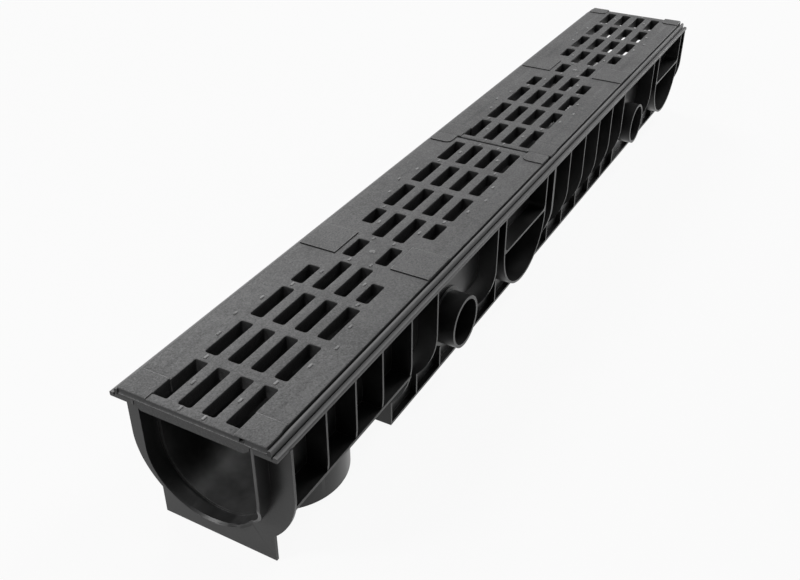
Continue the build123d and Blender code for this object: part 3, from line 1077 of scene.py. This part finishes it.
def rimPath(s):
    # section of both flanges with their upstands and grooves
    top, bottom = s["rimTop"], s["rimTop"] - s["rimThickness"]
    peak, floor = top + s["upstandHeight"], top - s["grooveDepth"]
    half, inner, outer = s["rimHalf"], s["upstandInner"], s["upstandOuter"]
    groove = outer + s["grooveWidth"]
    corners = [(half, bottom), (half, top), (groove, top), (groove, floor), (outer, floor), (outer, peak),
               (inner, peak), (inner, top)]
    radii = [s["rimRound"], s["rimRound"], 0, 0, 0, s["upstandRound"], s["upstandRound"], 0]
    corners += [(-y, z) for y, z in reversed(corners)]
    return roundedPath(corners, radii + radii[::-1])


def tongueSolid(s):
    # one half of the trough's edge, with a slanted lower end
    end, past, back = s["halfLength"], s["past"], s["plateX"] + s["tongueBackPast"]
    half = [p for p in shellPath(s, s["shellRadius"]) if p[0] <= 0.001]
    tongue = prism(half + [(0, underRim(s))], "x", -end, s["plateX"] + 1)
    high, low = s["tongueFront"] + s["tongueFrontRise"], s["tongueBack"] - s["tongueBackDrop"]
    slant = [(-end - 1, high), (back, low), (back, -1), (-end - 1, -1)]
    joinSolids(tongue, [(cut, prism(slant, "y", -past, past))])
    return tongue


def collarFront(s):
    # the collar's front edge seen from above, from its far side to where it ends by the tongue
    plate, run = s["plateX"], s["collarEnd"]
    return [
        (s["collarX"], s["past"]),
        (s["collarX"] + s["collarSideBack"], s["collarRadius"]),
        (plate - s["collarMiddleFront"], 0),
        (plate - s["collarTurnFront"], s["collarTurn"] - run),
        (plate, -run),
    ]


def collarSolid(s, front):
    end, past, plate = s["halfLength"], s["past"], s["plateX"]
    collar = prism(shellPath(s, s["collarRadius"]), "x", s["collarX"], s["recessX"] + s["recessWall"])
    slope = [(-end - 1, past)] + front + [(plate, -past), (-end - 1, -past)]
    side = block(plate - s["overlap"], end, -past, -s["collarEnd"], -1, 200)
    joinSolids(collar, [(cut, prism(slope, "z", -1, 200)), (cut, side)])
    return collar


def jointPath(s, radius, lip, top):
    # half round that narrows to the plain trough where the collar ends, wider on the other side
    path, turns = [], 72
    for k in range(turns + 1):
        turn = math.pi * k / turns
        along = math.cos(turn) * s["troughRadius"] + s["collarEnd"]
        share = min(max(along / s["collarFade"], 0), 1)
        wide = min(max(math.cos(turn), 0), 1)
        reach = s["troughRadius"] - 0.1
        reach += (radius + s["recessFlare"] * wide + lip * (1 - 0.9 * wide) - reach) * share
        path.append((reach * math.cos(turn), s["troughAxis"] - reach * math.sin(turn)))
    return [(path[0][0], top)] + path + [(path[-1][0], top)]


def lipTool(s, front, top):
    # cuts the slanted lip along the collar's front edge, which is not square to the channel
    wide = jointPath(s, s["recessRadius"], s["lipReach"], top)
    tool = prism(wide, "x", 0, 1, jointPath(s, s["recessRadius"] - s["lipInset"], 0, top))
    for k, vertex in enumerate(tool.data.vertices):
        y = vertex.co.y
        x = front[-1][0]
        for (x0, y0), (x1, y1) in zip(front, front[1:]):
            if y1 <= y <= y0:
                x = x0 + (x1 - x0) * (y0 - y) / (y0 - y1)
        vertex.co.x = x + (-s["lipFront"] if k < len(wide) else s["lipDepth"])
    return tool


def buildBody():
    s = bodySizes
    end, front = s["halfLength"], collarFront(s)
    shell = shellPath(s, s["shellRadius"])
    body = prism(shell, "x", s["plateX"], end)
    steps = ribSteps(s) + footSteps(s) + outletSteps(s) + branchSteps(s) + boreSteps(s)
    steps.append((add, tongueSolid(s)))
    steps.append((add, prism(shell, "x", s["plateX"], end)))       # closes the shell over the spouts' bores
    steps.append((add, collarSolid(s, front)))
    steps.append((add, prism(rimPath(s), "x", -end, end)))
    waterway = halfRoundPath(s["troughRadius"], s["troughAxis"], s["rimTop"] + 10)
    steps.append((cut, prism(waterway, "x", -end - 2, end + 2)))
    recessTop = underRim(s) - s["overlap"]
    recess = jointPath(s, s["recessRadius"], 0, recessTop)
    steps.append((cut, prism(recess, "x", s["collarX"] - 0.01, s["recessX"])))
    steps.append((cut, lipTool(s, front, recessTop)))
    joinSolids(body, steps)

    mesh = body.data
    scaleToMetres(mesh)
    shadeSmooth(mesh, s["sharpAngle"])
    mesh.materials.clear()
    mesh.materials.append(channelPlastic)
    body.name = "channelMoulding"
    mesh.name = "channelMoulding"
    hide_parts("channel_body")
    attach(body, "root")
    print("channel moulding:", len(mesh.polygons), "faces")


buildBody()


# Floor, light and camera

stageLook = {
    "floorSize": 14,
    "floorColour": (0.58, 0.58, 0.58, 1),
    "floorShare": 0.93,          # how white the floor is to a camera, glossy or transmission ray
    "worldStrength": 0.07,
    "lens": 43.23,
    "cameraPlace": (-0.8651, -0.3670, 0.5610),
    "cameraTilt": 90 - 33.468,
    "cameraTurn": 29.010 - 90,
}

lamps = {
    # name: (place, point it aims at, size, power)
    "keyLamp": ((1.5, 2.1, 2.1), (0.0, 0, 0.1), (1.0, 0.8), 40),
    "topLamp": ((1.6, -0.85, 2.4), (0.0, 0, 0.1), (0.9, 0.7), 31),
    "sideLamp": ((2.9, -1.25, 0.45), (0.0, 0, 0.07), (0.8, 0.5), 25),
    "endLamp": ((-1.15, 0.52, 0.93), (-0.45, 0, 0.07), (0.28, 0.24), 7.0),
}


def mixBackdrop(tree, plain, white, share, output):
    # shows a share of the plain white background to camera, glossy and transmission rays
    paths = tree.nodes.new("ShaderNodeLightPath")
    seen = mathNode(tree, "MAXIMUM", paths.outputs["Is Camera Ray"], paths.outputs["Is Glossy Ray"])
    seen = mathNode(tree, "MAXIMUM", seen, paths.outputs["Is Transmission Ray"])
    mix = tree.nodes.new("ShaderNodeMixShader")
    tree.links.new(mathNode(tree, "MULTIPLY", seen, share), mix.inputs[0])
    tree.links.new(plain.outputs[0], mix.inputs[1])
    tree.links.new(white.outputs[0], mix.inputs[2])
    tree.links.new(mix.outputs[0], tree.nodes[output].inputs["Surface"])


def buildStage():
    bpy.ops.mesh.primitive_plane_add(size=stageLook["floorSize"], location=(0, 0, -0.0004))
    floor = bpy.context.object
    floor.name = "floor"
    material, tree, shader = newMaterial("floorPaper")
    shader.inputs["Base Color"].default_value = stageLook["floorColour"]
    shader.inputs["Roughness"].default_value = 0.9
    shader.inputs["Specular IOR Level"].default_value = 0.0
    glow = tree.nodes.new("ShaderNodeEmission")
    glow.inputs["Strength"].default_value = 1.0
    mixBackdrop(tree, shader, glow, stageLook["floorShare"], "Material Output")
    floor.data.materials.append(material)

    world = bpy.data.worlds.new("studio")
    bpy.context.scene.world = world
    world.use_nodes = True
    tree = world.node_tree
    plain = tree.nodes["Background"]
    plain.inputs["Color"].default_value = (1, 1, 1, 1)
    plain.inputs["Strength"].default_value = stageLook["worldStrength"]
    white = tree.nodes.new("ShaderNodeBackground")
    white.inputs["Strength"].default_value = 1.0
    mixBackdrop(tree, plain, white, 1.0, "World Output")


def addLamp(name, place, target, size, power):
    data = bpy.data.lights.new(name, "AREA")
    data.shape = "RECTANGLE"
    data.size, data.size_y = size
    data.energy = power
    lamp = bpy.data.objects.new(name, data)
    bpy.context.scene.collection.objects.link(lamp)
    lamp.location = place
    aim = Vector(target) - Vector(place)
    lamp.rotation_euler = aim.to_track_quat("-Z", "Y").to_euler()


def addCamera():
    data = bpy.data.cameras.new("view")
    data.sensor_width = 36.0
    data.lens = stageLook["lens"]
    data.clip_start = 0.01
    camera = bpy.data.objects.new("view", data)
    bpy.context.scene.collection.objects.link(camera)
    camera.location = stageLook["cameraPlace"]
    tilt, turn = math.radians(stageLook["cameraTilt"]), math.radians(stageLook["cameraTurn"])
    camera.rotation_euler = (tilt, 0, turn)
    bpy.context.scene.camera = camera


buildStage()
for lampName, values in lamps.items():
    addLamp(lampName, *values)
addCamera()
bpy.context.scene.view_settings.view_transform = "Standard"
print("stage ready")
